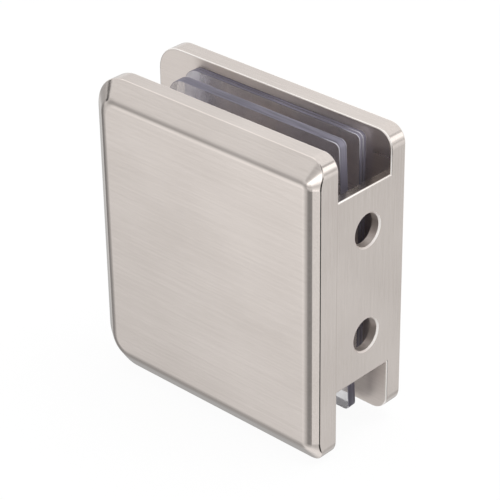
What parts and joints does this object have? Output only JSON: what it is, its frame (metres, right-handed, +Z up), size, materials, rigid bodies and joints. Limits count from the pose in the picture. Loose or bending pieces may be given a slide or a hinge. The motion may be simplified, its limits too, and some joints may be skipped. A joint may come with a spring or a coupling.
{
  "type": "glass u-clamp",
  "caption": "Glass-to-wall U clamp with a bevelled front plate, screw holes in its web and loose clear gaskets in the slot.",
  "frame": {"origin": "on the wall face, in the slot's middle plane, at the web's mid height between the two screw holes", "axes": "+X out of the wall face, so the clamp reaches from it along -X; +Y from the bevelled front plate to the plain back plate; +Z up"},
  "size_m": [0.0471, 0.0197, 0.0508],
  "materials": {
    "nickel": "brushed nickel plate on solid brass, satin",
    "clear_vinyl": "clear soft vinyl, smooth"
  },
  "bodies": {
    "root": {"clamp_body": "nickel", "thick_gasket": "clear_vinyl", "thin_gasket_front": "clear_vinyl", "thin_gasket_rear": "clear_vinyl"}
  },
  "joints": []
}
